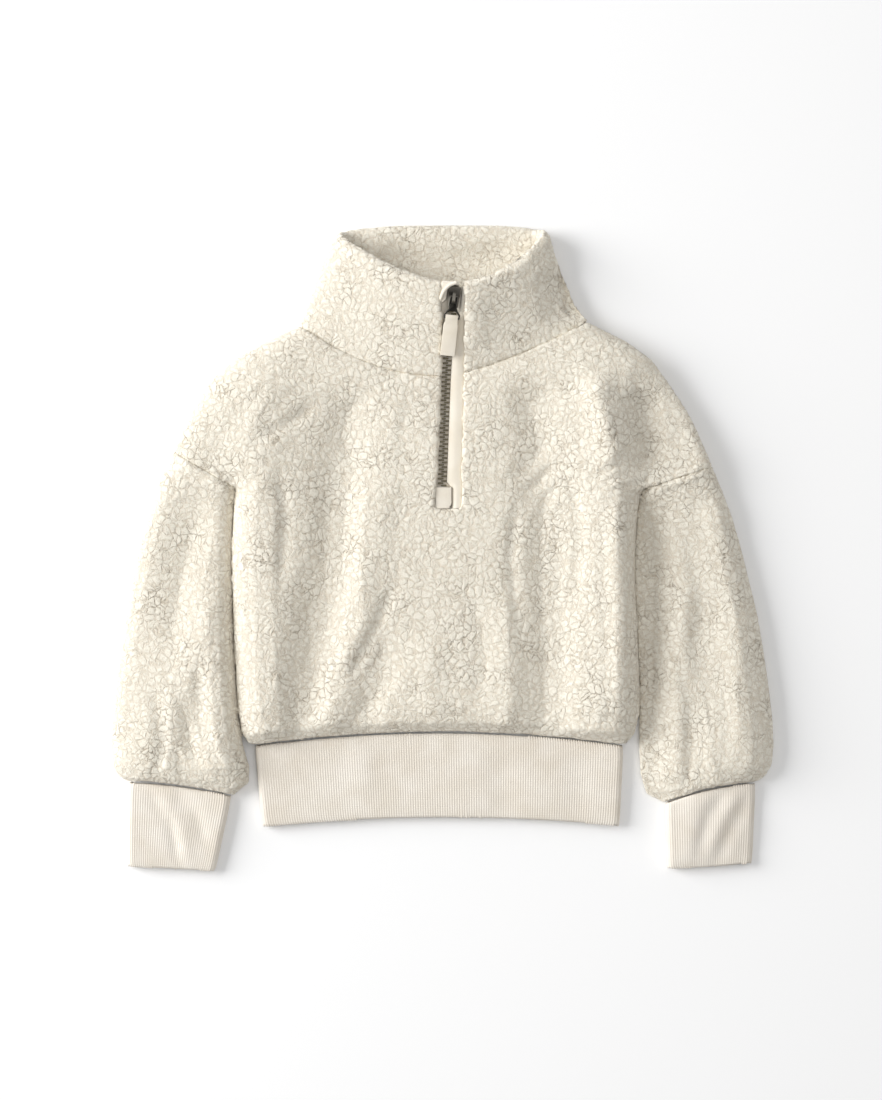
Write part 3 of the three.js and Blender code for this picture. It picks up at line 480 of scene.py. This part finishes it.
LEFT_SLEEVE_CREASES = [
    ([(-172, 30), (-186, -20), (-196, -80)], -1.8, 6),
    ([(-160, -30), (-176, -70), (-186, -120)], 1.4, 7),
    ([(-208, -90), (-200, -140), (-206, -168)], -1.6, 5),
    ([(-190, 63), (-148, 39)], 1.6, 2.6),
]
RIGHT_SLEEVE_CREASES = [
    ([(172, 20), (184, -30), (178, -90)], -2.0, 7),
    ([(212, -60), (210, -100), (216, -150)], 1.2, 6),
    ([(162, -60), (176, -110), (178, -160)], -1.6, 5),
    ([(142, 38), (190, 54)], 1.6, 2.6),
]
# Where a sleeve lies lower: a line's two points, the share of its height that it sinks, and half width
LEFT_SLEEVE_LIE = [([(-178, 46), (-238, -160)], -0.2, 22)]
RIGHT_SLEEVE_LIE = [
    ([(146, 38), (150, -130)], -0.6, 18),
    ([(203, 46), (236, -160)], -0.3, 32),
]
COLLAR_CREASES = [
    ([(20, 184), (24, 140)], 2.4, 11),
    ([(84, 204), (94, 160)], -6.5, 16),
    ([(-52, 212), (4, 203), (66, 212)], -4.5, 10),
]

front = fleece("front_panel", FRONT_CREASES)
back = fleece("back_panel", [])
sleeve_left = fleece("sleeve_left", LEFT_SLEEVE_CREASES, SLEEVE_VOXEL, LEFT_SLEEVE_LIE)
sleeve_right = fleece("sleeve_right", RIGHT_SLEEVE_CREASES, SLEEVE_VOXEL, RIGHT_SLEEVE_LIE)
collar = fleece("collar", COLLAR_CREASES)


def joined_faces(piece):
    """Joins the solid's triangles into quads where they lie flat."""
    only(piece)
    bpy.ops.object.mode_set(mode="EDIT")
    bpy.ops.mesh.select_all(action="SELECT")
    bpy.ops.mesh.tris_convert_to_quads(face_threshold=QUAD_ANGLE, shape_threshold=QUAD_ANGLE)
    bpy.ops.object.mode_set(mode="OBJECT")


def sharpen_ribs(piece):
    """Lifts the ribs and sinks the grooves between them, so that they stay when the surface is rounded."""
    form = bmesh.new()
    form.from_mesh(piece.data)
    lifts = {}
    for corner in form.verts:
        beside = [e.other_vert(corner) for e in corner.link_edges]
        beside = [v.co.z for v in beside if abs(v.co.x - corner.co.x) > 2 * abs(v.co.y - corner.co.y)]
        if corner.normal.z > 0.3 and len(beside) > 1:
            lifts[corner] = RIB_SHARPENING * (corner.co.z - sum(beside) / len(beside))
    for corner, lift in lifts.items():
        corner.co.z += lift
    form.to_mesh(piece.data)
    form.free()


def rib_knit(node, creases):
    """A rib tube: raised ribs along its length, and the creases of a cuff that was just pulled flat."""
    piece = copy_of(node, f"{node}_knit")
    sharpen_ribs(piece)
    joined_faces(piece)
    apply_modifier(piece, "SUBSURF", {"levels": 2, "render_levels": 2})
    rows = places(piece)
    up = np.clip(normals(piece)[:, 2] * 2, 0, 1)
    for line, height, width in creases:
        crease(rows, up, line, height, width)
    put(piece, rows)
    return dress(piece, "garment", RIB, node)


HEM_CREASES = [
    ([(40, -145), (46, -196)], -0.8, 12),
    ([(-60, -142), (-56, -180)], 0.6, 10),
    ([(100, -145), (96, -196)], -0.7, 12),
]
LEFT_CUFF_CREASES = [
    ([(-214, -172), (-196, -196), (-188, -228)], -1.2, 4),
    ([(-196, -172), (-178, -190), (-168, -214)], -1.3, 4.5),
    ([(-206, -176), (-188, -200), (-180, -226)], 0.7, 4),
]
RIGHT_CUFF_CREASES = [
    ([(206, -172), (190, -192), (182, -222)], -1.2, 4.5),
    ([(222, -176), (208, -200), (196, -226)], -1.3, 5),
    ([(214, -174), (200, -196), (190, -224)], 0.7, 4),
    ([(184, -170), (176, -232)], 1.8, 12),
    ([(228, -170), (220, -232)], -2.4, 14),
]
hem_band = rib_knit("hem_band", HEM_CREASES)
cuff_left = rib_knit("cuff_left", LEFT_CUFF_CREASES)
cuff_right = rib_knit("cuff_right", RIGHT_CUFF_CREASES)


def trim(node, name, edge, body, material):
    """A small flat piece of cloth: the solid's form with its edges rounded over."""
    piece = copy_of(node, name)
    joined_faces(piece)
    apply_modifier(piece, "BEVEL", {"width": edge, "segments": 3, "limit_method": "ANGLE"})
    if body == "garment":
        close_seams(piece, node)
    return dress(piece, body, material, node)


tape = trim("zip_tape", "zip_tape_weave", 0.2 * MM, "garment", TAPE)
facing = trim("zip_facing", "zip_facing_twill", 0.6 * MM, "garment", TWILL)
end_tab = trim("zip_end_tab", "zip_end_tab_twill", 0.5 * MM, "garment", TWILL)
garage = trim("zip_garage", "zip_garage_twill", 0.6 * MM, "garment", TWILL)
pull_tab = trim("zip_pull_tab", "zip_pull_tab_twill", 0.3 * MM, "pull", TWILL)


def join(pieces, name):
    """Joins the pieces into the first of them, with its place in its mesh."""
    bpy.ops.object.select_all(action="DESELECT")
    for piece in pieces:
        piece.select_set(True)
    bpy.context.view_layer.objects.active = pieces[0]
    bpy.ops.object.join()
    joined = bpy.context.active_object
    bpy.ops.object.transform_apply(location=True, rotation=True, scale=True)
    joined.name = name
    return joined


def bar(size, edge):
    """A bar with rounded edges at the origin."""
    bpy.ops.object.select_all(action="DESELECT")
    bpy.ops.mesh.primitive_cube_add(size=1)
    piece = bpy.context.active_object
    piece.scale = size
    bpy.ops.object.transform_apply(location=False, rotation=False, scale=True)
    apply_modifier(piece, "BEVEL", {"width": edge, "segments": 2})
    return piece


def moved_copy(piece, shift, turn):
    """A copy of the piece, turned and shifted in its mesh."""
    copy = piece.copy()
    copy.data = piece.data.copy()
    copy.data.transform(Matrix.Translation(shift) @ turn)
    bpy.context.scene.collection.objects.link(copy)
    return copy


def look_down(tree, x, y):
    """The place and the normal that a ray from above meets first, or None twice."""
    return tree.ray_cast(Vector((x, y, ABOVE)), Vector((0, 0, -1)))[:2]


def one_tooth():
    """A cast tooth that lies across the chain: a bevelled bar, rounder and lower at its head."""
    tooth = bar(TOOTH_SIZE, TOOTH_EDGE)
    rows = places(tooth)
    head = np.clip(rows[:, 0] / (TOOTH_SIZE.x / 2), 0, 1)
    rows[:, 1] *= 1 - 0.25 * head
    rows[:, 2] -= 0.25 * MM * head**2
    put(tooth, rows)
    return tooth


def garage_roll():
    """The folded edge of the garage, a soft roll that curves round the slider's upper end."""
    under = tree_of(["zip_garage", "zip_facing", "zip_tape"])
    line = bpy.data.curves.new("zip_garage_roll", "CURVE")
    line.dimensions = "3D"
    line.bevel_depth = ROLL_THICK / 2
    line.bevel_resolution = 3
    line.use_fill_caps = True
    spline = line.splines.new("BEZIER")
    spline.bezier_points.add(len(ROLL_LINE) - 1)
    for point, (x, y) in zip(spline.bezier_points, ROLL_LINE):
        below = look_down(under, x * MM, y * MM)[0]
        point.co = (x * MM, y * MM, below.z + 0.3 * ROLL_THICK)
        point.handle_left_type = point.handle_right_type = "AUTO"
    roll = bpy.data.objects.new("zip_garage_roll", line)
    bpy.context.scene.collection.objects.link(roll)
    only(roll)
    bpy.ops.object.convert(target="MESH")
    return dress(bpy.context.active_object, "garment", TWILL)


def tab_stitches():
    """A row of thread stitches across the lower end of the pull's loop, each a short rounded bar."""
    cloth = tree_of(["zip_pull_tab"])
    stitch = bar(STITCH_SIZE, STITCH_EDGE)
    row = []
    for i in range(STITCH_COUNT):
        x = STITCH_START[0] + i * STITCH_PITCH
        y = STITCH_START[1] + i * STITCH_SLANT * STITCH_PITCH
        top, facing = look_down(cloth, x * MM, y * MM)
        if top is not None:
            lie = Vector((0, 0, 1)).rotation_difference(facing).to_matrix().to_4x4()
            row.append(moved_copy(stitch, top, lie))
    bpy.data.objects.remove(stitch)
    return dress(join(row, "zip_pull_tab_stitches"), "pull", TWILL)


def zip_teeth():
    """Two rows of teeth that mesh on the chain's axis, on the height of its solid."""
    chain = tree_of(["zip_chain"])
    axis_y, axis_x = zip(*CHAIN_LINE)
    tooth = one_tooth()
    teeth = []
    count = round((CHAIN_ENDS[1] - CHAIN_ENDS[0]) * MM / (TOOTH_PITCH / 2))
    for i in range(count):
        y = CHAIN_ENDS[0] * MM + i * TOOTH_PITCH / 2
        x = float(np.interp(y / MM, axis_y, axis_x)) * MM
        below = look_down(chain, x, y)[0]
        if below is None:
            continue
        ahead = look_down(chain, x, y - SLOPE_STEP.y)[0] or below - SLOPE_STEP
        side = -1 if i % 2 else 1
        slope = math.atan2(below.z - ahead.z, SLOPE_STEP.y)
        turn = Matrix.Rotation(slope, 4, "X") @ Matrix.Rotation(0 if side < 0 else math.pi, 4, "Z")
        shift = Vector((x + side * TOOTH_OFFSET, y, below.z - TOOTH_SIZE.z / 2))
        teeth.append(moved_copy(tooth, shift, turn))
    bpy.data.objects.remove(tooth)
    return dress(join(teeth, "zip_teeth"), "garment", TEETH, "zip_chain")


zip_teeth()
roll = garage_roll()
stitches = tab_stitches()

for node in ("zip_slider", "zip_pull"):
    frame["nodes"][node].data.materials.clear()
    frame["nodes"][node].data.materials.append(GUNMETAL)


# Daylight from the left at a low angle, and a pale room that fills the shade
KEY = {"name": "key", "place": (-2.9, 0.7, 1.32), "power": 138, "size": 2.1}
FILL = {"name": "fill", "place": (0.5, 0.2, 2.6), "power": 16, "size": 1.8}
ROOM_LIGHT = 0.37


def floor_and_lights():
    """A plain white floor, a soft key light from the left and a pale room."""
    bpy.ops.object.select_all(action="DESELECT")
    bpy.ops.mesh.primitive_plane_add(size=6, location=(0, 0, 0))
    floor = bpy.context.active_object
    floor.name = "floor"
    material, tree = new_material("white_paper")
    shader = add(tree, "ShaderNodeBsdfPrincipled", {"Base Color": linear("#FDFDFD"), "Roughness": 0.9})
    add(tree, "ShaderNodeOutputMaterial", {"Surface": shader})
    floor.data.materials.append(material)
    for lamp in (KEY, FILL):
        light = bpy.data.lights.new(lamp["name"], "AREA")
        light.energy = lamp["power"]
        light.size = lamp["size"]
        holder = bpy.data.objects.new(lamp["name"], light)
        holder.location = lamp["place"]
        holder.rotation_euler = (-Vector(lamp["place"])).to_track_quat("-Z", "Y").to_euler()
        bpy.context.scene.collection.objects.link(holder)
    world = bpy.data.worlds.new("pale_room")
    world.use_nodes = True
    background = world.node_tree.nodes["Background"]
    background.inputs["Color"].default_value = linear("#FFFFFF")
    background.inputs["Strength"].default_value = ROOM_LIGHT
    bpy.context.scene.world = world
    bpy.context.scene.view_settings.view_transform = "Standard"


def camera():
    """A long lens straight above the photograph's middle."""
    lens = bpy.data.cameras.new("camera")
    lens.sensor_width = CAMERA_SENSOR
    lens.lens = CAMERA_SENSOR * CAMERA_HEIGHT / (PHOTO_HEIGHT * MM_PER_PIXEL * MM)
    view = bpy.data.objects.new("camera", lens)
    view.location = FRAME_MIDDLE + Vector((0, 0, CAMERA_HEIGHT))
    bpy.context.scene.collection.objects.link(view)
    bpy.context.scene.camera = view


floor_and_lights()
camera()
